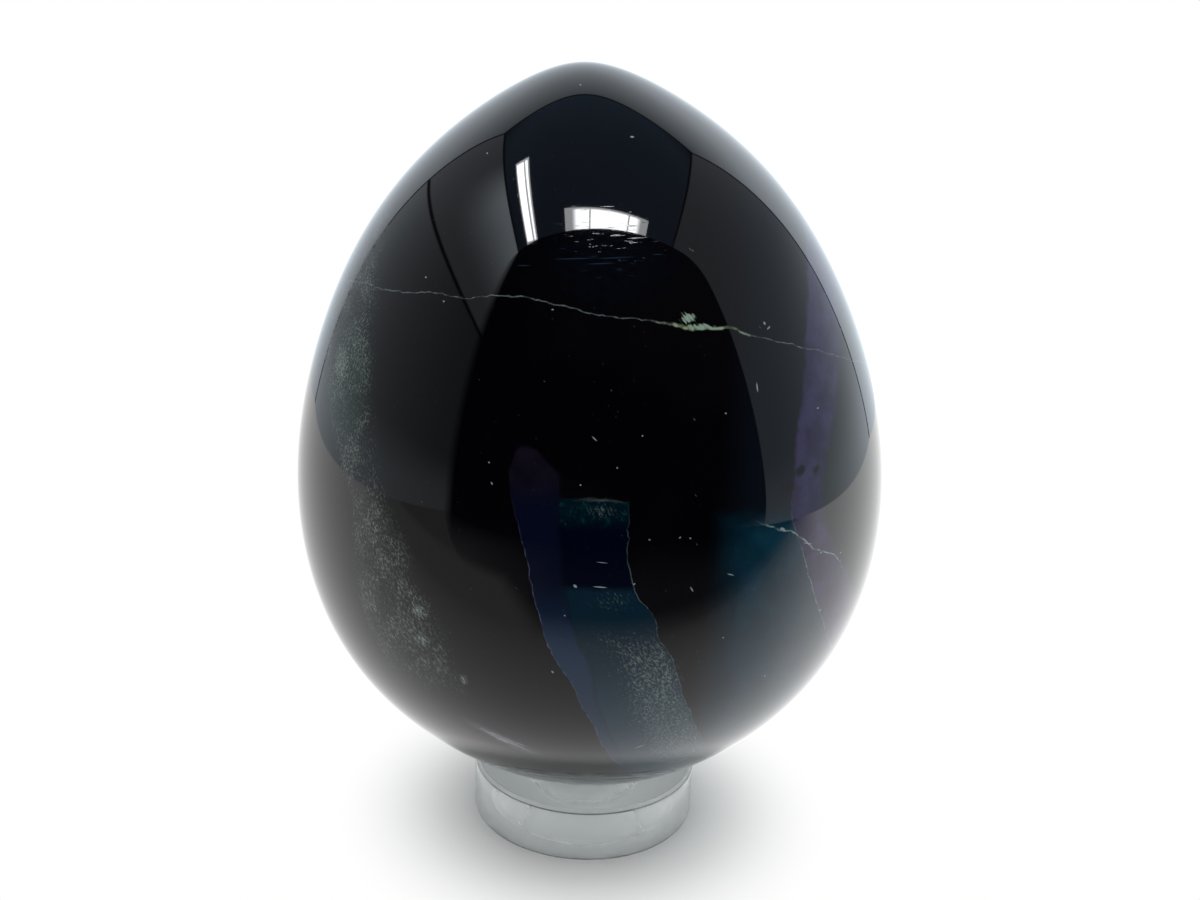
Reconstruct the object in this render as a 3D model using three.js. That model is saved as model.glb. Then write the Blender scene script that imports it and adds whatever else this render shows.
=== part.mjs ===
import * as THREE from "three";

// A polished stone egg that stands, blunt end down, on a ring of clear acrylic.
// Lengths are in millimetres. +Z is up, and the origin is the centre of the ring's underside.

// Stand: a ring cut from clear acrylic, with all four edges broken by a small polished chamfer.
const standDiameter = 25.4;
const standHeight = 6.35;
const boreDiameter = 12.7;
const edgeChamfer = 0.35;
const seatChamfer = 0.35;

// Egg: a solid of revolution, ground and polished from one stone.
const eggHeight = 78;
const eggWidth = 62.5;
const widestHeight = 34.5;
const bluntRadius = 16.5;
const tipRadius = 9.5;

// How much fuller than an ellipse the egg is, below its widest place and above it.
const bellyFullness = 0.03;
const shoulderFullness = 0.43;

// How the egg sits: its axis leans to the left, its blunt end lies a little to the right of the
// ring's axis, and a thin gap stays between it and its seat.
const leanDegrees = 3.3;
const seatOffset = 0.45;
const seatGap = 0.2;

// Facets.
const eggFacetsAround = 64;
const eggFacetsUp = 44;
const standFacetsAround = 72;
const seatPoints = 90;
const restTolerance = 1e-4;

const standRadius = standDiameter / 2;
const boreRadius = boreDiameter / 2;
const seatRadius = boreRadius + seatChamfer;
const halfWidth = eggWidth / 2;
const upperHeight = eggHeight - widestHeight;
const lean = THREE.MathUtils.degToRad(leanDegrees);

// The outline is an ellipse, below and above the widest place, times a series in the square
// of the height. These terms give it the two end radii and one curvature at the widest place.
const bluntTerm = Math.sqrt(bluntRadius * widestHeight) / halfWidth - 1 - bellyFullness;
const shoulderTerm = (((1 - 2 * bellyFullness) * upperHeight ** 2) / widestHeight ** 2 - 1) / 2;
const tipTerm = 1 - shoulderTerm + shoulderFullness - Math.sqrt(tipRadius * upperHeight) / halfWidth;

// Radius of the egg at a height above its blunt end.
function eggRadiusAt(height) {
  const above = height - widestHeight;
  const share = THREE.MathUtils.clamp(above / (above < 0 ? widestHeight : upperHeight), -1, 1);
  const square = share ** 2;
  const lower = 1 + bellyFullness * square + bluntTerm * square ** 2;
  const upper = 1 - shoulderTerm * square + shoulderFullness * square ** 2 - tipTerm * square ** 3;
  return halfWidth * Math.sqrt(1 - square) * (above < 0 ? lower : upper);
}

// The outline from the blunt end to the tip. Its steps are even in angle, so they crowd at the ends.
function eggOutline() {
  const points = [];
  for (let step = 0; step <= eggFacetsUp; step += 1) {
    const share = Math.sin(Math.PI * (step / eggFacetsUp - 0.5));
    const height = widestHeight + share * (share < 0 ? widestHeight : upperHeight);
    const onAxis = step === 0 || step === eggFacetsUp;
    points.push(new THREE.Vector2(onAxis ? 0 : eggRadiusAt(height), height));
  }
  return points;
}

// Whether the seat's edge would cut into the leaning egg, with its blunt end's centre at this height.
function seatCuts(centreHeight) {
  const point = new THREE.Vector3();
  const up = new THREE.Vector3(0, 1, 0);
  for (let step = 0; step < seatPoints; step += 1) {
    const around = (2 * Math.PI * step) / seatPoints;
    const across = seatRadius * Math.cos(around) - seatOffset;
    point.set(across, seatRadius * Math.sin(around), standHeight - centreHeight);
    point.applyAxisAngle(up, lean);
    const height = point.z + bluntRadius;
    if (height > 0 && Math.hypot(point.x, point.y) < eggRadiusAt(height)) {
      return true;
    }
  }
  return false;
}

// The height at which the leaning egg comes to rest on the upper edge of the bore's chamfer.
function restingHeight() {
  let cutting = standHeight;
  let clear = standHeight + eggWidth;
  while (clear - cutting > restTolerance) {
    const middle = (cutting + clear) / 2;
    if (seatCuts(middle)) {
      cutting = middle;
    } else {
      clear = middle;
    }
  }
  return clear + seatGap;
}

// A lathe turns its outline about Y, so the solid is stood up along Z.
function turned(outline, facetsAround) {
  const geometry = new THREE.LatheGeometry(outline, facetsAround);
  geometry.rotateX(Math.PI / 2);
  return geometry;
}

// The egg's own origin is the centre of its blunt end's curve, about which it rolls on its seat.
function makeEgg() {
  const geometry = turned(eggOutline(), eggFacetsAround);
  geometry.translate(0, 0, -bluntRadius);
  const stone = new THREE.MeshStandardMaterial({ color: "#15121c", roughness: 0.05, metalness: 0 });
  const egg = new THREE.Mesh(geometry, stone);
  egg.name = "egg";
  egg.rotation.y = -lean;
  egg.position.set(seatOffset, 0, restingHeight());
  return egg;
}

function makeStand() {
  const section = [
    [boreRadius + seatChamfer, 0],
    [standRadius - edgeChamfer, 0],
    [standRadius, edgeChamfer],
    [standRadius, standHeight - edgeChamfer],
    [standRadius - edgeChamfer, standHeight],
    [seatRadius, standHeight],
    [boreRadius, standHeight - seatChamfer],
    [boreRadius, seatChamfer],
    [boreRadius + seatChamfer, 0],
  ];
  const outline = section.map(([radius, height]) => new THREE.Vector2(radius, height));
  const acrylic = new THREE.MeshStandardMaterial({
    color: "#eef2f2",
    roughness: 0.04,
    metalness: 0,
    transparent: true,
    opacity: 0.35,
  });
  const stand = new THREE.Mesh(turned(outline, standFacetsAround), acrylic);
  stand.name = "ring_stand";
  return stand;
}

const group = new THREE.Group();
group.add(makeStand());
group.add(makeEgg());

export default group;
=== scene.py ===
import math
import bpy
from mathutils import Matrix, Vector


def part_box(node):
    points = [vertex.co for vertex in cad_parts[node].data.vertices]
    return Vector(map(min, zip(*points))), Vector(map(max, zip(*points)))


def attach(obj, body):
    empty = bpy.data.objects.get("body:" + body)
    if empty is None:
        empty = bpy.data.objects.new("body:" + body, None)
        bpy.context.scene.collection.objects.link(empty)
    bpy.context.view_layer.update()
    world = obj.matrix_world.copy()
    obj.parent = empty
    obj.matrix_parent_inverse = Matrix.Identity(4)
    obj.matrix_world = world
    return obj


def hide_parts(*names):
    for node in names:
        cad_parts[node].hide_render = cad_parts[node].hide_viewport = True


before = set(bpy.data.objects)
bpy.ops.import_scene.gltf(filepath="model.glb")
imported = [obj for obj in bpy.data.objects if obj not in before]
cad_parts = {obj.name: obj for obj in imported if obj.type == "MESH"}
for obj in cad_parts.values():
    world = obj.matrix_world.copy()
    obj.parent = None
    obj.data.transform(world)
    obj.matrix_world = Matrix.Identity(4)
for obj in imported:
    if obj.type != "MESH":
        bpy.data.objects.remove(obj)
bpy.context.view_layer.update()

from types import SimpleNamespace

import bmesh
import bpy
from mathutils import Matrix, Vector, noise

# A polished dark fluorite egg that stands, blunt end down, on a ring of clear acrylic.
# Lengths are written in millimetres and turned to Blender's metres by MM.
MM = 0.001

# The egg's outline, from its blunt end up.
EGG_HEIGHT = 78.0
EGG_WIDTH = 62.5
WIDEST_HEIGHT = 34.5
BLUNT_RADIUS = 16.5
TIP_RADIUS = 9.5
BELLY_FULLNESS = 0.03
SHOULDER_FULLNESS = 0.43
LEAN = math.radians(3.3)
EGG_RINGS = 230
EGG_SIDES = 384

# Hand polishing leaves the egg very slightly wavy, always below its true outline.
WAVE_DEPTH = 0.07
WAVE_LENGTH = 17.0

# The stand's ring.
STAND_RADIUS = 12.7
STAND_HEIGHT = 6.35
BORE_RADIUS = 6.35
EDGE_CHAMFER = 0.35
EDGE_SOFTNESS = 0.04
STAND_SIDES = 288
SHARP_EDGE = math.radians(25)

# Points closer together than this are merged.
MERGE_DISTANCE = 0.002

# A mask's soft edge.
SMOOTH = {"interpolation_type": "SMOOTHSTEP"}


def linear(hex_colour):
    """An sRGB hex colour as linear red, green, blue and alpha."""
    parts = [int(hex_colour[i:i + 2], 16) / 255 for i in (1, 3, 5)]
    return tuple(p / 12.92 if p <= 0.04045 else ((p + 0.055) / 1.055) ** 2.4 for p in parts) + (1.0,)


def add(tree, kind, inputs=None, out=0, **settings):
    """Add a node with its settings and links, and return one of its outputs. An input is a value, or
    another node's output to link."""
    made = tree.nodes.new("ShaderNode" + kind)
    for name, value in settings.items():
        setattr(made, name, value)
    for name, value in (inputs or {}).items():
        if isinstance(value, bpy.types.NodeSocket):
            tree.links.new(value, made.inputs[name])
        else:
            made.inputs[name].default_value = value
    return made.outputs[out]


def new_material(name):
    """A material with nothing but a Principled shader, its tree and that shader."""
    material = bpy.data.materials.new(name)
    material.use_nodes = True
    tree = material.node_tree
    return material, tree, tree.nodes["Principled BSDF"]


def merge(mesh):
    """Merge doubled points, then turn the faces outwards."""
    bmesh.ops.remove_doubles(mesh, verts=mesh.verts, dist=MERGE_DISTANCE * MM)
    bmesh.ops.recalc_face_normals(mesh, faces=mesh.faces)


def spin_shut(mesh, outline, edges, sides):
    """Turn an outline about the Z axis into a closed skin."""
    bmesh.ops.spin(mesh, geom=outline + edges, axis=(0, 0, 1), cent=(0, 0, 0),
                   angle=2 * math.pi, steps=sides, use_merge=True)
    merge(mesh)


def finished(name, mesh, material):
    """Merge the mesh, mark its sharp edges and link it as an object at the origin."""
    merge(mesh)
    for face in mesh.faces:
        face.smooth = True
    for edge in mesh.edges:
        edge.smooth = edge.calc_face_angle(0.0) < SHARP_EDGE
    data = bpy.data.meshes.new(name)
    mesh.to_mesh(data)
    mesh.free()
    data.materials.append(material)
    piece = bpy.data.objects.new(name, data)
    bpy.context.collection.objects.link(piece)
    return piece


# Shapes

def egg_radius(height):
    """The egg's radius at a height above its blunt end: an ellipse times a series in height squared."""
    half = EGG_WIDTH / 2
    upper = EGG_HEIGHT - WIDEST_HEIGHT
    blunt = math.sqrt(BLUNT_RADIUS * WIDEST_HEIGHT) / half - 1 - BELLY_FULLNESS
    shoulder = (((1 - 2 * BELLY_FULLNESS) * upper ** 2) / WIDEST_HEIGHT ** 2 - 1) / 2
    tip = 1 - shoulder + SHOULDER_FULLNESS - math.sqrt(TIP_RADIUS * upper) / half
    above = height - WIDEST_HEIGHT
    square = min(1.0, (above / (upper if above > 0 else WIDEST_HEIGHT)) ** 2)
    if above < 0:
        fuller = 1 + BELLY_FULLNESS * square + blunt * square ** 2
    else:
        fuller = 1 - shoulder * square + SHOULDER_FULLNESS * square ** 2 - tip * square ** 3
    return half * math.sqrt(1 - square) * fuller


def egg_mesh():
    """Turn the outline about the egg's axis, ripple it a little, lean it and set it where the CAD egg is."""
    mesh = bmesh.new()
    outline = []
    for ring in range(EGG_RINGS + 1):
        share = math.sin(math.pi * (ring / EGG_RINGS - 0.5))
        height = WIDEST_HEIGHT + share * (WIDEST_HEIGHT if share < 0 else EGG_HEIGHT - WIDEST_HEIGHT)
        radius = 0.0 if ring in (0, EGG_RINGS) else egg_radius(height)
        outline.append(mesh.verts.new((radius * MM, 0, height * MM)))
    edges = [mesh.edges.new(pair) for pair in zip(outline[:-1], outline[1:])]
    spin_shut(mesh, outline, edges, EGG_SIDES)
    mesh.normal_update()
    for vert in mesh.verts:
        wave = noise.noise(vert.co / (WAVE_LENGTH * MM))
        vert.co -= vert.normal * (0.5 + 0.5 * wave) * WAVE_DEPTH * MM
    bmesh.ops.transform(mesh, matrix=Matrix.Rotation(-LEAN, 4, "Y"), verts=mesh.verts)
    low, high = (Vector(corner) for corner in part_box("egg"))
    xs = [vert.co.x for vert in mesh.verts]
    top = max(vert.co.z for vert in mesh.verts)
    shift = Vector(((low.x + high.x - min(xs) - max(xs)) / 2, 0, high.z - WAVE_DEPTH / 2 * MM - top))
    bmesh.ops.translate(mesh, vec=shift, verts=mesh.verts)
    return mesh


def ring_mesh():
    """Spin the ring's square section, break its four edges with a small chamfer, then soften the sharp
    edges that the chamfers leave."""
    mesh = bmesh.new()
    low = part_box("ring_stand")[0][2]
    high = low + STAND_HEIGHT * MM
    corners = [(BORE_RADIUS * MM, low), (STAND_RADIUS * MM, low),
               (STAND_RADIUS * MM, high), (BORE_RADIUS * MM, high)]
    section = [mesh.verts.new((radius, 0, height)) for radius, height in corners]
    edges = [mesh.edges.new((section[i - 1], section[i])) for i in range(len(section))]
    spin_shut(mesh, section, edges, STAND_SIDES)
    for width in (EDGE_CHAMFER * math.sqrt(2), EDGE_SOFTNESS):
        rims = [edge for edge in mesh.edges if edge.calc_face_angle(0.0) > SHARP_EDGE]
        bmesh.ops.bevel(mesh, geom=rims, offset=width * MM, offset_type="WIDTH", affect="EDGES",
                        segments=1, profile=0.5, material=-1)
    return mesh


# The stone's pattern. Places are in millimetres in the part's own frame, and -Y faces the viewer.

# Edges of the growth zones on the front: (height, place from left to right).
BAND_LEFT = [(0, 14), (21.3, 2), (25.4, 0.6), (27.6, -0.5), (30.3, -1.4), (33.1, -3.1), (36.4, -4.2),
             (39.6, -5.1), (43.2, -5.9), (46.1, -6.8), (48.9, -7.3), (51.3, -7), (60, -7)]
BAND_SEAM = [(0, 12), (24.7, 1.9), (29.1, 0.7), (32.4, 0.1), (35.2, -1.2), (39.5, -2.2), (42.2, -2.6),
             (47.4, -3), (60, -3.4)]
BAND_RIGHT = [(0, 20), (23.6, 10.3), (26.3, 9.4), (29.6, 8.3), (32.6, 7.4), (35.1, 6), (37.4, 5.3),
              (38.7, 4.2), (40.4, 3.4), (41.7, 3.1), (47.6, 2.8), (60, 2.6)]
TEAL_LEFT = [(0, 9), (23.1, 11.3), (27.3, 11.7), (32, 11.9), (36.2, 12), (43.6, 12.2), (60, 12.4)]
VIOLET_LEFT = [(0, 36), (32.7, 22.2), (37.8, 20.1), (42, 18.6), (45.4, 17.4), (48, 17.5), (51.4, 17.6),
               (55.5, 18.1), (58.7, 18.3), (62.7, 18.7), (80, 20)]
VIOLET_RIGHT = [(0, 42), (34.5, 25.8), (38.9, 23.5), (41.5, 22), (44.6, 20.8), (48.6, 20.5), (50.7, 21.1),
                (54, 21.7), (57.3, 22.3), (61.2, 22.5), (80, 24)]
TRAIL_LEFT = [(10, -9), (21.4, -15.1), (24.9, -17.3), (28.1, -19.2), (32, -21), (36, -21.9), (40, -22),
              (43.7, -22.3), (46.8, -23.8), (52, -26), (62, -27)]
TRAIL_RIGHT = [(10, -4), (24.6, -10.2), (27.7, -11.1), (32, -12.4), (35.9, -13.6), (38.2, -15.7),
               (41.8, -16.3), (45, -17.9), (48.1, -19.4), (62, -20.5)]

# How high the zones reach, and the strip's rounded top: (place from left to right, height).
TEAL_TOP = 47.4
WIDE_TEAL_TOP = 45.0
BROWN_TOP = 42.0
STRIP_TOP = [(-20, 44), (-8.4, 47.5), (-7.3, 50.2), (-6.4, 51.4), (-5.3, 51.3), (-4.2, 50.4), (-3.4, 49.6),
             (-2.6, 49.2), (20, 44)]

# Colours further down a zone: (height where the last one ends, where this one is full, colour).
STRIP_STEPS = [(49.5, 46.0, "#060a1c"), (41.0, 32.0, "#152940")]
TEAL_STEPS = [(46.4, 44.6, "#010513"), (40.1, 39.3, "#051d2b"), (35.0, 25.0, "#16303f")]

# How far a zone's edge wanders, and how fast the zones drift to the left behind the egg's middle.
WANDER = 0.8
BACK_DRIFT = 0.45

# Where the trail of grit ends below, and where the swarm in the band starts: its top, and its place
# right of the seam. Then single clusters of grit: centre, radii and density.
TRAIL_END = 26.0
SWARM_TOP = 35.5
SWARM_START = 2.2
GRIT_CLUSTERS = [
    ((-24, -16, 55), (2.6, 8, 4.5), 0.8), ((-23.5, -18, 51), (4, 8, 7), 0.35),
    ((0.6, -30.6, 46.5), (3, 4, 1), 0.5), ((1.8, -31.2, 38.6), (3.6, 4, 2), 0.4),
    ((-15.3, -27.6, 35.2), (2.2, 3, 1.9), 0.84), ((-15.1, -27.3, 32.2), (1.9, 3, 1.6), 0.86),
    ((-11.1, -27.2, 28.9), (0.9, 2, 1.2), 0.88), ((6, 25, 34), (8, 8, 14), 0.55),
    ((-16, 21, 55), (5, 8, 9), 0.5), ((6.8, -28.2, 30.5), (2.8, 4, 4.5), 0.75),
]

# A thin pale line that crosses the teal and the violet: (place from left to right, height).
PALE_LINE = [(8, 46.5), (13.6, 45.2), (15.3, 44.4), (16.6, 43.8), (17.7, 43.4), (20.1, 41.3), (22.7, 39.5),
             (24.1, 37.3), (30, 30)]

# The healed crack: (place from left to right, height).
CRACK = [(-40, 60.2), (-22.7, 60.6), (-18.4, 60.1), (-14.6, 60.2), (-12, 59.95), (-10.3, 60.2), (-7.4, 60.3),
         (-3.8, 59.7), (-1.6, 59.3), (1.2, 59), (3.2, 58.9), (5.4, 58.6), (8.8, 58.3), (10.8, 58.4),
         (12.4, 57.8), (15.5, 57.2), (18.3, 56.6), (22.3, 55.6), (40, 51)]
CRACK_SLOPE = 0.12

# Long scratches from polishing: centre and half length.
LONG_SCRATCHES = [((-2.6, -23, 66.5), 2.4), ((0.9, -23.2, 66.7), 2.2), ((-0.4, -23.4, 66.2), 1.6),
                  ((-7, -23, 65.7), 0.8), ((-5, -21.5, 66), 0.9)]

# Single specks: centre, half length, half width, and turn from level in degrees, down to the right.
SPECKS = [
    ((1.9, -13.9, 76.5), 0.2, 0.09, 0), ((13.6, -24.2, 56.2), 0.45, 0.07, 80),
    ((-0.3, -29.4, 52.4), 0.3, 0.05, 40), ((3.7, -28.9, 52.7), 0.09, 0.06, 0),
    ((1.7, -29.9, 50.1), 0.08, 0.07, 0), ((-1.3, -30.3, 48.6), 0.08, 0.07, 0),
    ((-9.1, -28.9, 49.8), 0.09, 0.07, 30), ((-8.8, -29.3, 48.1), 0.15, 0.06, 60),
    ((4.7, -30.6, 44.1), 0.09, 0.06, 20), ((7.3, -30, 44.2), 0.12, 0.06, -50),
    ((8.2, -29.7, 44.1), 0.1, 0.06, 30), ((-3.1, -30.2, 31.3), 0.17, 0.09, 50),
    ((-2.2, -31.1, 37.1), 0.09, 0.07, 0), ((10.8, -26.3, 54.3), 0.09, 0.07, 0),
    ((19.7, -20.5, 53.7), 0.14, 0.07, 0), ((12, -28.6, 40.5), 0.35, 0.05, 20),
    ((8.6, -29.9, 39.5), 0.3, 0.06, 60), ((11.8, -28.3, 34.4), 0.09, 0.07, 0),
    ((16.4, -24.3, 28.9), 0.12, 0.07, 50), ((19.3, -24, 42), 0.6, 0.06, 22),
    ((20.8, -22.8, 40.7), 0.12, 0.08, 0), ((23.1, -20.3, 39.9), 0.12, 0.07, 0),
    ((21.5, -21.6, 34.6), 0.14, 0.07, -30), ((5.1, -25.7, 21.8), 0.6, 0.05, -25),
    ((-4.3, -25.3, 62.4), 0.12, 0.06, 0), ((-11.2, -13.5, 74.5), 0.09, 0.07, 0),
    ((-3.1, -7.6, 80.9), 0.09, 0.07, 0), ((-15.8, -20, 63.9), 0.1, 0.08, 0),
    ((-13.9, -22.2, 62.2), 0.09, 0.08, 0), ((-1.4, -31.2, 39.9), 0.2, 0.13, 40),
    ((0.7, -31.2, 39.9), 0.62, 0.06, 3), ((3.6, -31, 40.2), 0.12, 0.07, -40),
    ((0.8, -31, 42.1), 0.5, 0.03, 5), ((16.6, -25.8, 43.9), 0.3, 0.14, 25),
    ((14.2, -21, 61.3), 0.16, 0.1, 60), ((14.6, -20.9, 60.9), 0.2, 0.08, -40),
    ((3, 28.5, 52), 0.3, 0.06, 35), ((-9, 27, 47), 0.1, 0.07, 0), ((12, 24, 61), 0.4, 0.06, -60),
    ((-27, 9, 51), 0.3, 0.07, 70), ((27, 8, 44), 0.12, 0.08, 0), ((-14, 22, 58), 0.12, 0.09, 0),
]

# A speck fades out at this many times its half length and half width.
SPECK_REACH = 1.1

# Dark spots inside the violet zone: centre and radius.
DARK_SPOTS = [((18, -23.3, 48.7), 0.8), ((17, -24.5, 47.4), 0.9), ((19.6, -22, 48.4), 0.6),
              ((18.6, -23, 46.4), 0.5), ((-20, 22, 50), 1.1), ((24, 17, 41), 0.8)]

# A traced line stays within this distance of its middle.
TRACE_REACH = 45.0

# Refractive indices.
FLUORITE_IOR = 1.434
ACRYLIC_IOR = 1.49

# The ring's finish: how rough its upper chamfer is, how far the finish of the bore and of the underside
# reaches past its edge, and the half width of the dark lines of painted shade and how far inside the wall's
# edges they lie.
CHAMFER_ROUGHNESS = 0.45
FINISH_MARGIN = 0.02
UNDERSIDE_MARGIN = 0.05
EDGE_SHADE_LINE = 0.14
EDGE_SHADE_INSET = 0.05


def traced(tree, along, across, points, middle=0.0):
    """Signed distance, in mm, past a line traced in the stone. Its points are (place along, place across),
    and none of them is more than TRACE_REACH from the middle."""
    first, last = points[0][0], points[-1][0]
    share = add(tree, "MapRange", {"Value": along, "From Min": first, "From Max": last})
    curve = add(tree, "FloatCurve", {"Value": share})
    line = curve.node.mapping.curves[0]
    places = [((place - first) / (last - first), 0.5 + (value - middle) / (2 * TRACE_REACH))
              for place, value in points]
    line.points[0].location, line.points[1].location = places[0], places[-1]
    for place in places[1:-1]:
        line.points.new(*place)
    for point in line.points:
        point.handle_type = "AUTO_CLAMPED"
    curve.node.mapping.update()
    traced_place = add(tree, "MapRange", {"Value": curve, "To Min": middle - TRACE_REACH,
                                          "To Max": middle + TRACE_REACH})
    return add(tree, "Math", {0: across, 1: traced_place}, operation="SUBTRACT")


def growth_zone(tree, *edges):
    """1 inside a growth zone and 0 outside it. Each edge is a distance that grows inward and the softness
    of that edge, in mm, and a negative softness turns it the other way."""
    depth = 1.0
    for distance, softness in edges:
        share = add(tree, "Math", {0: distance, 1: softness}, operation="DIVIDE")
        depth = add(tree, "Math", {0: share, 1: depth}, operation="MINIMUM")
    return add(tree, "MapRange", {"Value": depth, "From Min": -1.0, "From Max": 1.0}, **SMOOTH)


def hairline(tree, distance, width, strength):
    """A thin line along an edge, as strong as given, whose width is twice the one given."""
    off = add(tree, "Math", {0: distance}, operation="ABSOLUTE")
    line = add(tree, "MapRange", {"Value": off, "From Min": width, "From Max": 0.2 * width}, **SMOOTH)
    return add(tree, "Math", {0: line, 1: strength}, operation="MULTIPLY")


def patch(tree, place, centre, radii, core=0.2, turn=0.0):
    """1 in the middle of an ellipsoid about a place in the stone, and 0 outside it. Its turn, in degrees,
    is down to the right."""
    inside = add(tree, "Mapping", {"Vector": place, "Location": centre, "Scale": radii,
                                   "Rotation": (0, math.radians(turn), 0)}, vector_type="TEXTURE")
    away = add(tree, "VectorMath", {0: inside}, "Value", operation="LENGTH")
    return add(tree, "MapRange", {"Value": away, "From Min": 1.0, "From Max": core}, **SMOOTH)


def grit(tree, place, density, long, wide, turn):
    """Fine pale grit, drawn out one way. It covers more of the stone where the density is higher."""
    drawn = add(tree, "Mapping", {"Vector": place, "Rotation": (0, math.radians(turn), 0),
                                  "Scale": (long, wide, wide)}, vector_type="TEXTURE")
    grains = add(tree, "TexNoise", {"Vector": drawn, "Scale": 1.0, "Detail": 4.0, "Roughness": 0.75})
    level = add(tree, "Math", {0: density, 1: 0.3, 2: grains}, operation="MULTIPLY_ADD")
    grain = add(tree, "MapRange", {"Value": level, "From Min": 0.62, "From Max": 0.94}, **SMOOTH)
    present = add(tree, "MapRange", {"Value": density, "From Max": 0.25})
    return add(tree, "Math", {0: grain, 1: present}, operation="MULTIPLY")


def stone_fields(tree):
    """The places in which the stone's marks are drawn, and the clouds that break them up."""
    here = add(tree, "TexCoord", out="Object")
    place = add(tree, "Mapping", {"Vector": here, "Scale": (1 / MM, 1 / MM, 1 / MM)})

    # Edges wander by a few tenths of a millimetre, and behind the egg's middle the zones drift to the left.
    wander = add(tree, "TexNoise", {"Vector": place, "Scale": 0.55, "Detail": 4.0, "Roughness": 0.6}, "Color")
    offset = add(tree, "VectorMath", {0: wander, 1: (0.5, 0.5, 0.5)}, operation="SUBTRACT")
    loose = add(tree, "VectorMath", {0: offset, 1: (WANDER, WANDER, WANDER), 2: place},
                operation="MULTIPLY_ADD")
    across, deep, height = add(tree, "SeparateXYZ", {"Vector": loose}).node.outputs
    behind = add(tree, "Math", {0: deep, 1: 0.0}, operation="MAXIMUM")
    across = add(tree, "Math", {0: behind, 1: BACK_DRIFT, 2: across}, operation="MULTIPLY_ADD")

    # Clouds of two sizes: 3 mm and 0.7 mm.
    clumps = add(tree, "TexNoise", {"Vector": place, "Scale": 0.33, "Detail": 3.0, "Roughness": 0.6})
    clumps = add(tree, "MapRange", {"Value": clumps, "From Min": 0.38, "From Max": 0.62}, **SMOOTH)
    grains = add(tree, "TexNoise", {"Vector": place, "Scale": 1.4, "Detail": 5.0, "Roughness": 0.7})
    mottle = add(tree, "MapRange", {"Value": grains, "From Min": 0.5, "From Max": 0.68}, **SMOOTH)
    broken = add(tree, "MapRange", {"Value": grains, "From Min": 0.38, "From Max": 0.6, "To Min": 0.15},
                 **SMOOTH)
    return SimpleNamespace(tree=tree, place=place, loose=loose, across=across, deep=deep, height=height,
                           clumps=clumps, mottle=mottle, broken=broken)


def zone_edges(stone):
    """How far each point lies to the right of the growth zones' edges, in mm."""
    edges = {"left": BAND_LEFT, "seam": BAND_SEAM, "right": BAND_RIGHT, "teal_left": TEAL_LEFT,
             "violet_left": VIOLET_LEFT, "violet_right": VIOLET_RIGHT}
    return SimpleNamespace(**{name: traced(stone.tree, stone.height, stone.across, points)
                              for name, points in edges.items()})


def stepped(stone, tone, steps):
    """A zone's colour that changes down the stone, in the given steps."""
    for start, end, hex_colour in steps:
        step = add(stone.tree, "MapRange", {"Value": stone.height, "From Min": start, "From Max": end},
                   **SMOOTH)
        tone = add(stone.tree, "Mix", {0: step, 6: tone, 7: linear(hex_colour)}, 2, data_type="RGBA")
    return tone


def zoned_colour(stone, edges):
    """The stone's near-black violet body, a little warmer or cooler from place to place, and its zones."""
    tree = stone.tree
    drift = add(tree, "TexNoise", {"Vector": stone.place, "Scale": 0.05, "Detail": 3.0})
    drift = add(tree, "MapRange", {"Value": drift, "From Min": 0.4, "From Max": 0.62}, **SMOOTH)
    under_teal, under_wide_teal, under_brown = (
        add(tree, "Math", {0: top, 1: stone.height}, operation="SUBTRACT")
        for top in (TEAL_TOP, WIDE_TEAL_TOP, BROWN_TOP))
    over_strip = traced(tree, stone.across, stone.height, STRIP_TOP, 50.0)

    cloudy = ((drift, "#020204", "#060508"), (stone.clumps, "#0b0912", "#110e18"),
              (stone.mottle, "#02121b", "#0b3033"), (stone.clumps, "#052533", "#092c3c"),
              (stone.clumps, "#211e3a", "#2f2b4b"))
    colour, indigo, teal, wide_teal, violet = (
        add(tree, "Mix", {0: cloud, 6: linear(dark), 7: linear(light)}, 2, data_type="RGBA")
        for cloud, dark, light in cloudy)
    zones = [
        (stepped(stone, indigo, STRIP_STEPS), (edges.left, 0.07), (edges.seam, -0.35), (over_strip, -0.35)),
        (stepped(stone, teal, TEAL_STEPS), (edges.seam, 0.35), (edges.right, -0.07), (under_teal, 0.12)),
        (linear("#09090c"), (edges.right, 0.3), (edges.teal_left, -1.5), (under_brown, 2.5)),
        (linear("#0a0f16"), (edges.teal_left, 2.5), (edges.violet_left, -0.4), (under_wide_teal, -1.0)),
        (wide_teal, (edges.teal_left, 2.6), (edges.violet_left, -0.2), (under_wide_teal, 1.6)),
        (linear("#121a1c"), (edges.violet_right, 0.5)),
        (violet, (edges.violet_left, 0.25), (edges.violet_right, -0.5)),
    ]
    for tone, *sides in zones:
        zone = growth_zone(tree, *sides)
        colour = add(tree, "Mix", {0: zone, 6: colour, 7: tone}, 2, data_type="RGBA")
    for centre, radius in DARK_SPOTS:
        spot = patch(tree, stone.loose, centre, (radius, 2 * radius, 0.8 * radius), 0.4, -35)
        colour = add(tree, "Mix", {0: spot, 6: colour, 7: linear("#060508")}, 2, data_type="RGBA")
    return colour


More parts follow.
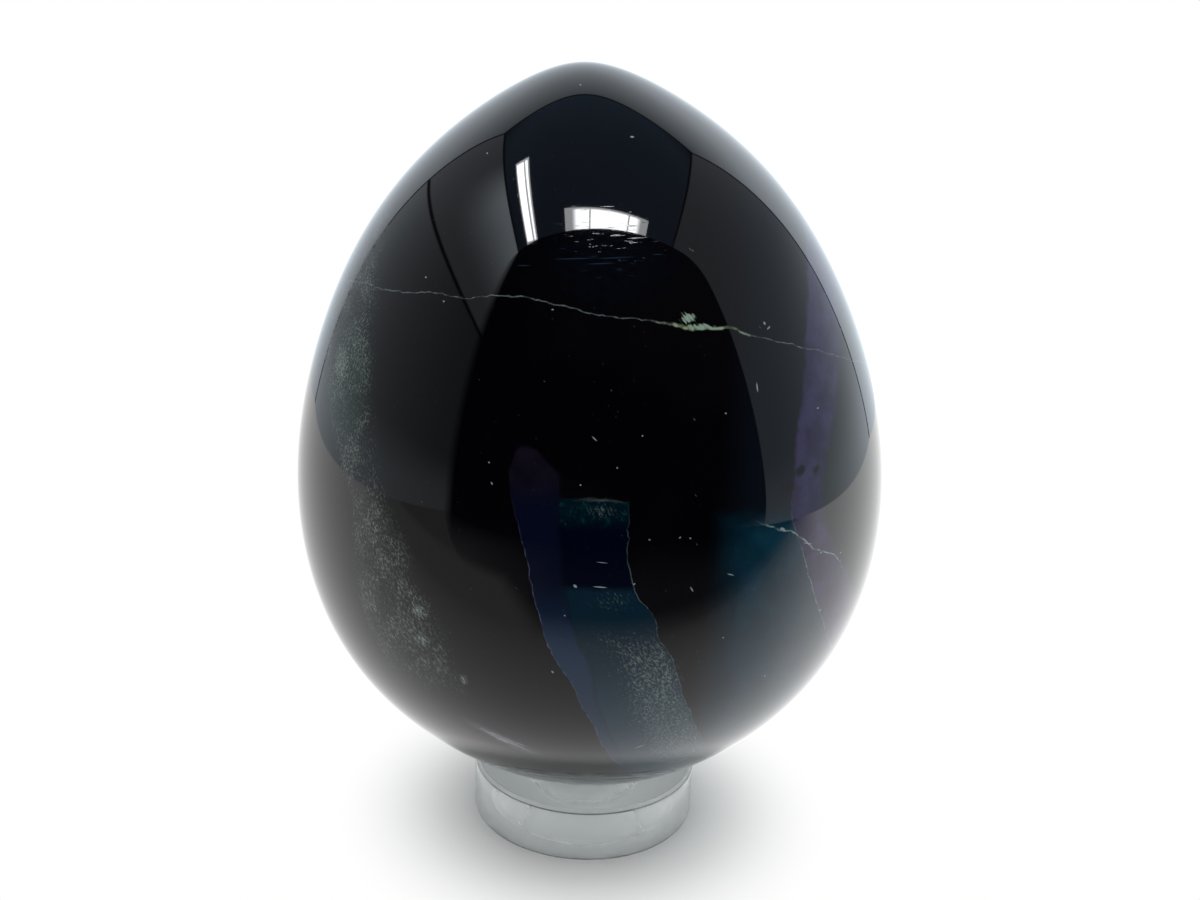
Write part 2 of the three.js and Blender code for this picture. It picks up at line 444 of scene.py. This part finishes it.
def lined_colour(stone, edges, colour):
    """Thin pale lines along the zones' edges, and one that crosses them."""
    tree = stone.tree
    pale_line = traced(tree, stone.across, stone.height, PALE_LINE, 40.0)
    low = add(tree, "MapRange", {"Value": stone.height, "From Min": 48.5, "From Max": 38.0}, **SMOOTH)
    strength = add(tree, "Math", {0: stone.broken, 1: low}, operation="MULTIPLY")
    on_line = patch(tree, stone.loose, (19, -23, 41.5), (7.5, 9, 7.5), 0.5)
    crossing = add(tree, "Math", {0: on_line, 1: stone.broken}, operation="MULTIPLY")
    lines = ((edges.left, 0.07, "#4a4c68", strength), (edges.right, 0.07, "#4a5860", strength),
             (edges.violet_left, 0.1, "#54706f", strength), (pale_line, 0.11, "#7d9393", crossing))
    for edge, width, tone, amount in lines:
        line = hairline(tree, edge, width, amount)
        colour = add(tree, "Mix", {0: line, 6: colour, 7: linear(tone)}, 2, data_type="RGBA")
    return colour


def mottled_colour(stone, colour):
    """Green mottling high on the left, and pale streaks low on the left."""
    tree = stone.tree
    green = patch(tree, stone.loose, (-23.8, -17.5, 53), (4.6, 10, 8.5), 0.3)
    streak = patch(tree, stone.loose, (-7.6, -25, 21.7), (5.6, 5, 0.95), 0.1, 27)
    shimmer = grit(tree, stone.place, streak, 1.6, 0.28, 27)
    for mask, tone in ((green, "#172320"), (streak, "#3c3a42"), (shimmer, "#86848a")):
        colour = add(tree, "Mix", {0: mask, 6: colour, 7: linear(tone)}, 2, data_type="RGBA")
    return colour


def pale_grit(stone, edges):
    """Pale grit and its tone: a trail down the left, a swarm in the band's right half, lines at the teal's
    steps, and some behind. Real grains are about 0.05 mm; they are drawn three times as coarse, so that
    they show."""
    tree = stone.tree
    trail_left = traced(tree, stone.height, stone.across, TRAIL_LEFT)
    trail_right = traced(tree, stone.height, stone.across, TRAIL_RIGHT)
    above_end = add(tree, "Math", {0: stone.height, 1: TRAIL_END}, operation="SUBTRACT")
    trail = growth_zone(tree, (trail_left, 0.8), (trail_right, -1.6), (above_end, 5.0), (stone.deep, -6.0))
    clumped = add(tree, "MapRange", {"Value": stone.clumps, "To Min": 0.4, "To Max": 0.62})
    trail = add(tree, "Math", {0: trail, 1: clumped}, operation="MULTIPLY")
    from_seam = add(tree, "Math", {0: edges.seam, 1: SWARM_START}, operation="SUBTRACT")
    under_top = add(tree, "Math", {0: SWARM_TOP, 1: stone.height}, operation="SUBTRACT")
    swarm = growth_zone(tree, (from_seam, 2.6), (edges.right, -0.7), (under_top, 3.0), (stone.deep, -6.0))
    swarm = add(tree, "Math", {0: swarm, 1: 0.62}, operation="MULTIPLY")
    density = add(tree, "Math", {0: trail, 1: swarm}, operation="MAXIMUM")
    for centre, radii, amount in GRIT_CLUSTERS:
        cluster = patch(tree, stone.loose, centre, radii, 0.1)
        cluster = add(tree, "Math", {0: cluster, 1: amount}, operation="MULTIPLY")
        density = add(tree, "Math", {0: density, 1: cluster}, operation="MAXIMUM")
    fleck = grit(tree, stone.place, density, 0.4, 0.17, 55)
    ledge = patch(tree, stone.loose, (0.4, -30.5, 47.35), (3.4, 3, 0.3), 0.2)
    ledge = grit(tree, stone.place, ledge, 2.2, 0.13, 2)
    fleck = add(tree, "Math", {0: fleck, 1: ledge}, operation="MAXIMUM")
    tone = add(tree, "Mix", {0: density, 6: linear("#2b3433"), 7: linear("#8c9a95")}, 2, data_type="RGBA")
    return fleck, tone


def healed_crack(stone):
    """The healed crack and its tone. It is thickest a little right of the middle."""
    tree = stone.tree
    height = add(tree, "Math", {0: stone.deep, 1: CRACK_SLOPE, 2: stone.height}, operation="MULTIPLY_ADD")
    crack = traced(tree, stone.across, height, CRACK, 58.0)
    thick = patch(tree, stone.loose, (9, -24, 61.5), (6.5, 8, 3), 0.3)
    width = add(tree, "MapRange", {"Value": thick, "To Min": 0.085, "To Max": 0.2})
    off = add(tree, "Math", {0: crack}, operation="ABSOLUTE")
    line = add(tree, "MapRange", {"Value": off, "From Min": width, "From Max": 0.0}, **SMOOTH)
    line = add(tree, "Math", {0: line, 1: stone.broken}, operation="MULTIPLY")
    tone = add(tree, "Mix", {0: thick, 6: linear("#5d686b"), 7: linear("#8d9b80")}, 2, data_type="RGBA")
    return line, tone


def feathery_growth(stone):
    """The feathery growth on the healed crack, of fine spikes."""
    tree = stone.tree
    tuft = patch(tree, stone.loose, (7.2, -24.3, 62.0), (1.3, 4, 0.85), 0.0)
    sprays = patch(tree, stone.loose, (8.6, -24.1, 61.3), (3.0, 4, 0.45), 0.0, 5)
    feather = add(tree, "Math", {0: tuft, 1: sprays}, operation="MAXIMUM")
    spikes = add(tree, "Mapping", {"Vector": stone.place, "Rotation": (0, math.radians(50), 0),
                                   "Scale": (0.75, 0.3, 0.2)}, vector_type="TEXTURE")
    spikes = add(tree, "TexNoise", {"Vector": spikes, "Scale": 1.0, "Detail": 3.0, "Roughness": 0.7})
    feather = add(tree, "Math", {0: feather, 1: 0.42, 2: spikes}, operation="MULTIPLY_ADD")
    return add(tree, "MapRange", {"Value": feather, "From Min": 0.7, "From Max": 0.86}, **SMOOTH)


def single_specks(stone):
    """The single specks, each a small ellipse."""
    tree = stone.tree
    nearest = SPECK_REACH
    for centre, long, wide, turn in SPECKS:
        own = add(tree, "Mapping", {"Vector": stone.place, "Location": centre, "Scale": (long, 1.0, wide),
                                    "Rotation": (0, math.radians(turn), 0)}, vector_type="TEXTURE")
        away = add(tree, "VectorMath", {0: own}, "Value", operation="LENGTH")
        nearest = add(tree, "Math", {0: away, 1: nearest}, operation="MINIMUM")
    return add(tree, "MapRange", {"Value": nearest, "From Min": SPECK_REACH, "From Max": 0.6}, **SMOOTH)


def polishing_wear(stone):
    """A haze of fine, nearly level scratches high on the front, and the scratches. Real ones are 0.02 mm
    wide; they are drawn four times as wide, so that they show."""
    tree = stone.tree
    haze = patch(tree, stone.loose, (0.6, -22.5, 66.2), (8, 10, 5.5), 0.3)
    haze = add(tree, "Math", {0: haze, 1: stone.broken}, operation="MULTIPLY")
    grain = add(tree, "Mapping", {"Vector": stone.place, "Rotation": (0, math.radians(-3), 0),
                                  "Scale": (1.8, 1.8, 0.12)}, vector_type="TEXTURE")
    grain = add(tree, "TexNoise", {"Vector": grain, "Scale": 1.0, "Detail": 3.0, "Roughness": 0.6})
    worn = patch(tree, stone.loose, (0.4, -21, 67.5), (9, 12, 7), 0.2)
    scratch = add(tree, "Math", {0: worn, 1: 0.1, 2: grain}, operation="MULTIPLY_ADD")
    scratch = add(tree, "MapRange", {"Value": scratch, "From Min": 0.7, "From Max": 0.84}, **SMOOTH)
    scratch = add(tree, "Math", {0: scratch, 1: worn}, operation="MULTIPLY")
    for centre, long in LONG_SCRATCHES:
        mark = patch(tree, stone.place, centre, (long, 2, 0.07), 0.2, -4)
        scratch = add(tree, "Math", {0: mark, 1: scratch}, operation="MAXIMUM")
    return haze, scratch


def polished_fluorite():
    """Near-black violet fluorite, sawn, ground and polished to a mirror: glassy, with growth zones of
    indigo, teal and violet inside it, mineral flecks, one thin healed crack and a few fine scratches."""
    material, tree, shader = new_material("mirror_polished_fluorite")
    shader.inputs["IOR"].default_value = FLUORITE_IOR
    stone = stone_fields(tree)
    edges = zone_edges(stone)
    colour = zoned_colour(stone, edges)
    colour = lined_colour(stone, edges, colour)
    colour = mottled_colour(stone, colour)

    fleck, fleck_tone = pale_grit(stone, edges)
    crack, crack_tone = healed_crack(stone)
    feather = feathery_growth(stone)
    speck = single_specks(stone)
    haze, scratch = polishing_wear(stone)
    for mark, tone in ((fleck, fleck_tone), (crack, crack_tone), (feather, linear("#7e9584")),
                       (speck, linear("#7d898c")), (haze, linear("#05080f")), (scratch, linear("#1d2634"))):
        colour = add(tree, "Mix", {0: mark, 6: colour, 7: tone}, 2, data_type="RGBA")

    # The marks take the polish less well than the stone round them.
    marks = add(tree, "Math", {0: fleck, 1: crack}, operation="MAXIMUM")
    marks = add(tree, "Math", {0: marks, 1: feather}, operation="MAXIMUM")
    rough = add(tree, "MapRange", {"Value": marks, "To Min": 0.03, "To Max": 0.16})
    dents = add(tree, "Math", {0: marks, 1: scratch}, operation="MAXIMUM")
    bump = add(tree, "Bump", {"Strength": 0.12, "Distance": 0.02 * MM, "Height": dents}, invert=True)
    tree.links.new(colour, shader.inputs["Base Color"])
    tree.links.new(rough, shader.inputs["Roughness"])
    tree.links.new(bump, shader.inputs["Normal"])
    return material


def clear_acrylic():
    """Cast acrylic, turned: its wall and faces are polished clear, and the bore and the underside are left
    matt from the tool, so the wall looks an even pale grey. The upper chamfer is half polished, which blurs
    it. Thin dark lines of painted shade lie in its colour on the wall, just inside its two edges: the shade
    at the sharp edge under the top chamfer, and the ring's contact shadow above the bottom one."""
    material, tree, shader = new_material("turned_clear_acrylic")
    shader.inputs["IOR"].default_value = ACRYLIC_IOR
    shader.inputs["Transmission Weight"].default_value = 1.0
    here = add(tree, "TexCoord", out="Object")
    x, y, z = add(tree, "SeparateXYZ", {"Vector": here}).node.outputs
    flat = add(tree, "CombineXYZ", {"X": x, "Y": y})
    radius = add(tree, "VectorMath", {0: flat}, "Value", operation="LENGTH")

    # Roughness: 1 in the bore and on the underside, about half of that on the upper chamfer, else 0.
    bore_end = (BORE_RADIUS + EDGE_CHAMFER + FINISH_MARGIN) * MM
    wall_start = (STAND_RADIUS - EDGE_CHAMFER + FINISH_MARGIN) * MM
    upper_edge = (STAND_HEIGHT - EDGE_CHAMFER) * MM
    bore = add(tree, "Math", {0: radius, 1: bore_end}, operation="LESS_THAN")
    underside = add(tree, "Math", {0: z, 1: UNDERSIDE_MARGIN * MM}, operation="LESS_THAN")
    matt = add(tree, "Math", {0: bore, 1: underside}, operation="MAXIMUM")
    outer = add(tree, "Math", {0: radius, 1: wall_start}, operation="GREATER_THAN")
    upper = add(tree, "Math", {0: z, 1: upper_edge}, operation="GREATER_THAN")
    chamfer = add(tree, "Math", {0: outer, 1: upper}, operation="MULTIPLY")
    chamfer = add(tree, "Math", {0: chamfer, 1: CHAMFER_ROUGHNESS}, operation="MULTIPLY")
    rough = add(tree, "Math", {0: matt, 1: chamfer}, operation="MAXIMUM")

    # Painted shade: two dark lines on the wall, just inside its two edges.
    half_wall = STAND_HEIGHT / 2 - EDGE_CHAMFER - EDGE_SHADE_INSET
    middle = add(tree, "Math", {0: z, 1: STAND_HEIGHT / 2 * MM}, operation="SUBTRACT")
    middle = add(tree, "Math", {0: middle}, operation="ABSOLUTE")
    edge = add(tree, "Math", {0: middle, 1: half_wall * MM}, operation="SUBTRACT")
    edge = hairline(tree, edge, EDGE_SHADE_LINE * MM, outer)
    colour = add(tree, "Mix", {0: edge, 6: linear("#fbfdfd"), 7: linear("#2a3034")}, 2, data_type="RGBA")
    tree.links.new(colour, shader.inputs["Base Color"])
    tree.links.new(rough, shader.inputs["Roughness"])
    return material


# Pieces

egg = finished("stone_egg", egg_mesh(), polished_fluorite())
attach(egg, "egg")
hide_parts("egg")

ring = finished("acrylic_ring", ring_mesh(), clear_acrylic())
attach(ring, "stand")
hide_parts("ring_stand")
ring.visible_shadow = False


# Floor, light tent, black card, lamps and world. The tent, the card and the two bright lamps are there
# for reflections alone; a wide soft lamp overhead and the world give the plain light.

# Floor: how far it lies under the ring, and from where to where, from the ring's axis, it turns white
# for the camera and bright for reflections.
FLOOR_DROP = 0.02
FADE_START = 9.4
FADE_END = 29.4
GLEAM_START = 16.0
GLEAM_END = 22.0

# Tent.
TENT_WIDTH = 628.0
TENT_REAR = 280.0
TENT_FRONT = -290.0
TENT_HEIGHT = 600.0
TENT_FOLD = 290.0
SEAM_WIDTH = 5.0

# Card, and where its soft left edge and its soft foot end.
CARD_PLACE = -106.0
CARD_LEFT = -118.0
CARD_RIGHT = 205.0
CARD_TOP_LEFT = 245.0
CARD_TOP_RIGHT = 305.0
CARD_CORNER = 45.0
CARD_LEFT_SOFT = -104.0
CARD_FLOOR_SOFT = 30.0

# How far before the card the painted shade on the mirrored floor starts, and where it is darkest.
CARD_SHADE_START = 40.0
CARD_SHADE_END = 14.0

# Lamps. The egg's shoulder, which mirrors the two bright ones, is at this height.
LAMP_HEIGHT = 760.0
SHOULDER_HEIGHT = 60.0
LAMP_STRENGTH = 34.0
LAMP_FRAME_STRENGTH = 7.0
OVERHEAD_HEIGHT = 1000.0
OVERHEAD_WIDTH = 2000.0
OVERHEAD_POWER = 16.2

# The photograph's view.
CAMERA_PLACE = (0, -125.73, 79.09)
CAMERA_PITCH = math.radians(16)
CAMERA_YAW = math.radians(0.12)
CAMERA_ROLL = math.radians(2.5)


def glossy_only(piece):
    """Mark a piece as stage that only reflections see."""
    piece.visible_camera = False
    piece.visible_diffuse = False
    piece.visible_transmission = False
    piece.visible_shadow = False


def paper_floor():
    """A white paper sweep. For the camera it turns to plain white away from the object's shadow. Reflections
    see it glow with painted light, as bright as the tent, dimmer in the shadow, and with painted shade
    towards the black card."""
    material, tree, shader = new_material("white_paper_floor")
    shader.inputs["Base Color"].default_value = linear("#f1f4f3")
    shader.inputs["Roughness"].default_value = 0.6
    shader.inputs["Specular IOR Level"].default_value = 0.2
    here = add(tree, "TexCoord", out="Object")
    x, y, _ = add(tree, "SeparateXYZ", {"Vector": here}).node.outputs
    glossy = add(tree, "LightPath", out="Is Glossy Ray")
    camera_ray = glossy.node.outputs["Is Camera Ray"]
    away = add(tree, "VectorMath", {0: here}, "Value", operation="LENGTH")
    fade = add(tree, "MapRange", {"Value": away, "From Min": FADE_START * MM, "From Max": FADE_END * MM},
               **SMOOTH)
    gleam = add(tree, "MapRange", {"Value": away, "From Min": GLEAM_START * MM, "From Max": GLEAM_END * MM},
                **SMOOTH)
    fade = add(tree, "Math", {0: fade, 1: camera_ray}, operation="MULTIPLY")
    gleam = add(tree, "Math", {0: gleam, 1: glossy}, operation="MULTIPLY")
    lit = add(tree, "Math", {0: fade, 1: gleam}, operation="MAXIMUM")

    # What reflections see, painted light and shade in the floor's glow: brighter to the right, dimmer towards
    # the viewer, and darkest before the card, whose painted shadow reaches less far at the left.
    paper = add(tree, "MapRange", {"Value": x, "From Min": 0.0, "From Max": 60 * MM,
                                   "To Min": 1.15, "To Max": 1.75}, **SMOOTH)
    deepest = add(tree, "MapRange", {"Value": x, "From Min": 0.0, "From Max": 50 * MM,
                                     "To Min": 0.4, "To Max": 0.15})
    forward = add(tree, "MapRange", {"Value": y, "From Min": -15 * MM, "From Max": -75 * MM,
                                     "To Min": 1.0, "To Max": deepest})
    nearer = add(tree, "MapRange", {"Value": x, "From Min": -60 * MM, "From Max": -20 * MM,
                                    "To Min": 40 * MM, "To Max": 0.0})
    darkest = add(tree, "MapRange", {"Value": x, "From Min": -120 * MM, "From Max": -20 * MM,
                                     "To Min": 0.7, "To Max": 0.12})
    near_card = add(tree, "Math", {0: y, 1: nearer}, operation="ADD")
    shade_start = (CARD_PLACE + CARD_SHADE_START) * MM
    shade_end = (CARD_PLACE + CARD_SHADE_END) * MM
    near_card = add(tree, "MapRange", {"Value": near_card, "From Min": shade_start, "From Max": shade_end,
                                       "To Min": 1.0, "To Max": darkest}, **SMOOTH)
    paper = add(tree, "Math", {0: paper, 1: forward}, operation="MULTIPLY")
    paper = add(tree, "Math", {0: paper, 1: near_card}, operation="MULTIPLY")
    level = add(tree, "Mix", {0: glossy, 2: 1.0, 3: paper}, data_type="FLOAT")
    glow = add(tree, "Emission", {"Color": (1, 1, 1, 1), "Strength": level})
    mix = add(tree, "MixShader", {0: lit, 1: shader.outputs[0], 2: glow})
    tree.links.new(mix, tree.nodes["Material Output"].inputs["Surface"])
    return material


def floor():
    """A wide flat floor, just under the ring."""
    mesh = bmesh.new()
    bmesh.ops.create_grid(mesh, x_segments=1, y_segments=1, size=2.0)
    bmesh.ops.translate(mesh, vec=(0, 0, -FLOOR_DROP * MM), verts=mesh.verts)
    finished("floor", mesh, paper_floor())


def tent_cloth():
    """White tent cloth, lit from outside: the rear wall brightest, the sides grey and uneven, and thin
    dark seams at the corners and along a fold in the left wall."""
    material, tree, shader = new_material("white_tent_cloth")
    x, y, z = add(tree, "SeparateXYZ", {"Vector": add(tree, "TexCoord", out="Object")}).node.outputs
    near_floor = add(tree, "MapRange", {"Value": z, "From Min": 90 * MM, "From Max": 20 * MM}, **SMOOTH)

    # Rear wall: brighter to the right, and dim at the top.
    rear = add(tree, "MapRange", {"Value": x, "From Min": -300 * MM, "From Max": 300 * MM,
                                  "To Min": 1.1, "To Max": 1.65})
    rear = add(tree, "MapRange", {"Value": z, "From Min": 300 * MM, "From Max": TENT_HEIGHT * MM,
                                  "To Min": rear, "To Max": 0.6})

    # Left wall: brighter to the rear below the fold, and bright at the upper front above it.
    left_low = add(tree, "MapRange", {"Value": y, "From Min": TENT_FRONT * MM, "From Max": 250 * MM,
                                      "To Min": 0.2, "To Max": 0.62}, **SMOOTH)
    left_low = add(tree, "Math", {0: near_floor, 1: 0.3, 2: left_low}, operation="MULTIPLY_ADD")
    forward = add(tree, "MapRange", {"Value": y, "From Min": 130 * MM, "From Max": -80 * MM,
                                     "To Min": 0.0, "To Max": 1.95}, **SMOOTH)
    upper = add(tree, "MapRange", {"Value": z, "From Min": 320 * MM, "From Max": TENT_HEIGHT * MM}, **SMOOTH)
    left_high = add(tree, "Math", {0: upper, 1: forward, 2: 0.45}, operation="MULTIPLY_ADD")
    above_fold = add(tree, "Math", {0: z, 1: TENT_FOLD * MM}, operation="GREATER_THAN")
    left = add(tree, "Mix", {0: above_fold, 2: left_low, 3: left_high}, data_type="FLOAT")

    # Right wall: brighter low down and to the rear.
    backward = add(tree, "MapRange", {"Value": y, "From Min": -120 * MM, "From Max": 230 * MM,
                                      "To Min": 0.0, "To Max": 0.73}, **SMOOTH)
    lower = add(tree, "MapRange", {"Value": z, "From Min": 300 * MM, "From Max": 50 * MM}, **SMOOTH)
    right = add(tree, "Math", {0: lower, 1: backward, 2: 0.42}, operation="MULTIPLY_ADD")
    right = add(tree, "Math", {0: near_floor, 1: 0.25, 2: right}, operation="MULTIPLY_ADD")

    on_right = add(tree, "Math", {0: x, 1: 0.0}, operation="GREATER_THAN")
    on_rear = add(tree, "Math", {0: y, 1: (TENT_REAR - 0.5) * MM}, operation="GREATER_THAN")
    level = add(tree, "Mix", {0: on_right, 2: left, 3: right}, data_type="FLOAT")
    level = add(tree, "Mix", {0: on_rear, 2: level, 3: rear}, data_type="FLOAT")

    # Distance from the nearest seam: a rear corner or the fold, on the side walls alone, or the top edge.
    corner = add(tree, "Math", {0: (TENT_REAR - SEAM_WIDTH) * MM, 1: y}, operation="SUBTRACT")
    fold = add(tree, "Math", {0: z, 1: TENT_FOLD * MM}, operation="SUBTRACT")
    fold = add(tree, "Math", {0: fold}, operation="ABSOLUTE")
    fold = add(tree, "Math", {0: fold, 1: on_right}, operation="ADD")
    nearest = add(tree, "Math", {0: corner, 1: fold}, operation="MINIMUM")
    nearest = add(tree, "Math", {0: nearest, 1: on_rear}, operation="ADD")
    top = add(tree, "Math", {0: (TENT_HEIGHT - 2 * SEAM_WIDTH) * MM, 1: z}, operation="SUBTRACT")
    nearest = add(tree, "Math", {0: nearest, 1: top}, operation="MINIMUM")
    level = add(tree, "MapRange", {"Value": nearest, "From Min": 0.3 * SEAM_WIDTH * MM,
                                   "From Max": 1.5 * SEAM_WIDTH * MM,
                                   "To Min": 0.03, "To Max": level}, **SMOOTH)
    glow = add(tree, "Emission", {"Color": linear("#ecf6ff"), "Strength": level})
    tree.links.new(glow, tree.nodes["Material Output"].inputs["Surface"])
    return material


def tent():
    """A box without top, bottom and front."""
    mesh = bmesh.new()
    bmesh.ops.create_cube(mesh, size=1.0)
    deep = TENT_REAR - TENT_FRONT
    bmesh.ops.scale(mesh, vec=(TENT_WIDTH * MM, deep * MM, TENT_HEIGHT * MM), verts=mesh.verts)
    middle = (0, (TENT_REAR + TENT_FRONT) / 2 * MM, TENT_HEIGHT / 2 * MM)
    bmesh.ops.translate(mesh, vec=middle, verts=mesh.verts)
    mesh.normal_update()
    open_sides = [face for face in mesh.faces if abs(face.normal.z) > 0.5 or face.normal.y < -0.5]
    bmesh.ops.delete(mesh, geom=open_sides, context="FACES")
    glossy_only(finished("tent", mesh, tent_cloth()))


def black_card():
    """Matt black card whose lower and left edges fade out, as they are out of focus in the reflection."""
    material, tree, shader = new_material("matt_black_card")
    shader.inputs["Base Color"].default_value = linear("#010101")
    shader.inputs["Roughness"].default_value = 1.0
    shader.inputs["Specular IOR Level"].default_value = 0.0
    x, _, z = add(tree, "SeparateXYZ", {"Vector": add(tree, "TexCoord", out="Object")}).node.outputs
    from_left = add(tree, "MapRange", {"Value": x, "From Min": CARD_LEFT * MM,
                                       "From Max": CARD_LEFT_SOFT * MM})
    from_floor = add(tree, "MapRange", {"Value": z, "From Min": 0.0, "From Max": CARD_FLOOR_SOFT * MM})
    thick = add(tree, "Math", {0: from_left, 1: from_floor}, operation="MULTIPLY")
    mix = add(tree, "MixShader", {0: thick, 1: add(tree, "BsdfTransparent"), 2: shader.outputs[0]})
    tree.links.new(mix, tree.nodes["Material Output"].inputs["Surface"])
    return material


def card():
    """A black card in front of the object, which keeps the middle of the egg dark."""
    mesh = bmesh.new()
    corners = [(CARD_LEFT, 0), (CARD_RIGHT, 0), (CARD_RIGHT, CARD_TOP_RIGHT), (CARD_LEFT, CARD_TOP_LEFT)]
    verts = [mesh.verts.new((x * MM, CARD_PLACE * MM, z * MM)) for x, z in corners]
    mesh.faces.new(verts)
    bmesh.ops.bevel(mesh, geom=verts, offset=CARD_CORNER * MM, offset_type="OFFSET", affect="VERTICES",
                    segments=12, profile=0.5, material=-1)
    glossy_only(finished("card", mesh, black_card()))


def lamp_glass(name, bars, ends):
    """A lamp's glass in a dimmer frame, with dimmer bars. Each bar has the way in which it is placed, along
    or across the lamp, then its place and its width, as shares of the lamp. The UV runs along the lamp."""
    material, tree, shader = new_material(name)
    along, across, _ = add(tree, "SeparateXYZ", {"Vector": add(tree, "TexCoord", out="UV")}).node.outputs
    ways = {"along": along, "across": across}
    sides = [(along, 0.5 * ends, ends), (along, 1 - 0.5 * ends, 1 - ends),
             (across, 0.08, 0.16), (across, 0.96, 0.88)]
    lit = 1.0
    for value, dark, bright in sides:
        edge = add(tree, "MapRange", {"Value": value, "From Min": dark, "From Max": bright}, **SMOOTH)
        lit = add(tree, "Math", {0: edge, 1: lit}, operation="MULTIPLY")
    for way, place, width in bars:
        off = add(tree, "Math", {0: ways[way], 1: place}, operation="SUBTRACT")
        off = add(tree, "Math", {0: off}, operation="ABSOLUTE")
        bar = add(tree, "MapRange", {"Value": off, "From Min": width * 0.5, "From Max": width}, **SMOOTH)
        lit = add(tree, "Math", {0: lit, 1: bar}, operation="MULTIPLY")
    level = add(tree, "MapRange", {"Value": lit, "To Min": LAMP_FRAME_STRENGTH, "To Max": LAMP_STRENGTH})
    glow = add(tree, "Emission", {"Color": linear("#fbfdff"), "Strength": level})
    tree.links.new(glow, tree.nodes["Material Output"].inputs["Surface"])
    return material


def ceiling_lamp(name, glass, left, right, front, rear):
    """A flat lamp above the tent. Its sides are given as shares of its height over the egg's shoulder."""
    reach = LAMP_HEIGHT - SHOULDER_HEIGHT
    mesh = bmesh.new()
    mesh.loops.layers.uv.new("along_lamp")
    bmesh.ops.create_grid(mesh, x_segments=1, y_segments=1, size=0.5, calc_uvs=True)
    long_way = rear - front > right - left
    if long_way:
        bmesh.ops.rotate(mesh, matrix=Matrix.Rotation(math.pi / 2, 3, "Z"), verts=mesh.verts)
    bmesh.ops.scale(mesh, vec=((right - left) * reach * MM, (rear - front) * reach * MM, 1), verts=mesh.verts)
    middle = ((left + right) / 2 * reach * MM, (front + rear) / 2 * reach * MM, LAMP_HEIGHT * MM)
    bmesh.ops.translate(mesh, vec=middle, verts=mesh.verts)
    glossy_only(finished(name, mesh, glass))


def overhead_lamp():
    """A wide soft lamp over the object. It lights everything plainly, and no reflection shows it."""
    lamp = bpy.data.lights.new("overhead_lamp", "AREA")
    lamp.shape = "SQUARE"
    lamp.size = OVERHEAD_WIDTH * MM
    lamp.energy = OVERHEAD_POWER
    piece = bpy.data.objects.new("overhead_lamp", lamp)
    bpy.context.collection.objects.link(piece)
    piece.location = (0, 0, OVERHEAD_HEIGHT * MM)
    piece.visible_glossy = False


def room():
    """White for the camera and through the acrylic. Reflections see a dim bluish ceiling over the tent,
    and a dark room through its open front."""
    world = bpy.data.worlds.new("room")
    bpy.context.scene.world = world
    world.use_nodes = True
    tree = world.node_tree
    height = add(tree, "SeparateXYZ", {"Vector": add(tree, "TexCoord", out="Generated")}, "Z")
    upward = add(tree, "MapRange", {"Value": height, "From Min": 0.72, "From Max": 0.86}, **SMOOTH)
    dim = add(tree, "Mix", {0: upward, 6: linear("#050506"), 7: linear("#5b6e83")}, 2, data_type="RGBA")
    glossy = add(tree, "LightPath", out="Is Glossy Ray")
    path = glossy.node.outputs
    plain = add(tree, "Math", {0: path["Is Camera Ray"], 1: path["Is Transmission Ray"]}, operation="MAXIMUM")
    seen = add(tree, "Mix", {0: glossy, 6: linear("#aaaaaa"), 7: dim}, 2, data_type="RGBA")
    seen = add(tree, "Mix", {0: plain, 6: seen, 7: linear("#ffffff")}, 2, data_type="RGBA")
    tree.links.new(seen, tree.nodes["Background"].inputs["Color"])


def camera():
    """The photograph's view: 36 mm lens, 126 mm in front of the ring, 79 mm up and tipped down 16 degrees."""
    lens = bpy.data.cameras.new("camera")
    lens.lens = 36
    lens.sensor_width = 36
    piece = bpy.data.objects.new("camera", lens)
    bpy.context.collection.objects.link(piece)
    level_step = math.cos(CAMERA_PITCH)
    forward = Vector((math.sin(CAMERA_YAW) * level_step, math.cos(CAMERA_YAW) * level_step,
                      -math.sin(CAMERA_PITCH)))
    level = forward.cross(Vector((0, 0, 1))).normalized()
    upright = level.cross(forward)
    right = level * math.cos(CAMERA_ROLL) + upright * math.sin(CAMERA_ROLL)
    up = upright * math.cos(CAMERA_ROLL) - level * math.sin(CAMERA_ROLL)
    turn = Matrix((right, up, -forward)).transposed().to_4x4()
    turn.translation = Vector(CAMERA_PLACE) * MM
    piece.matrix_world = turn
    bpy.context.scene.camera = piece


floor()
tent()
card()
ceiling_lamp("panel_lamp", lamp_glass("panel_glass", [("along", 0.3, 0.012), ("along", 0.76, 0.012)], 0.16),
             left=-0.20, right=0.37, front=-0.48, rear=-0.31)
ceiling_lamp("strip_lamp", lamp_glass("strip_glass", [("across", 0.34, 0.09)], 0.04),
             left=-0.505, right=-0.415, front=-0.50, rear=0.13)
overhead_lamp()
room()
camera()
bpy.context.scene.view_settings.view_transform = "Standard"
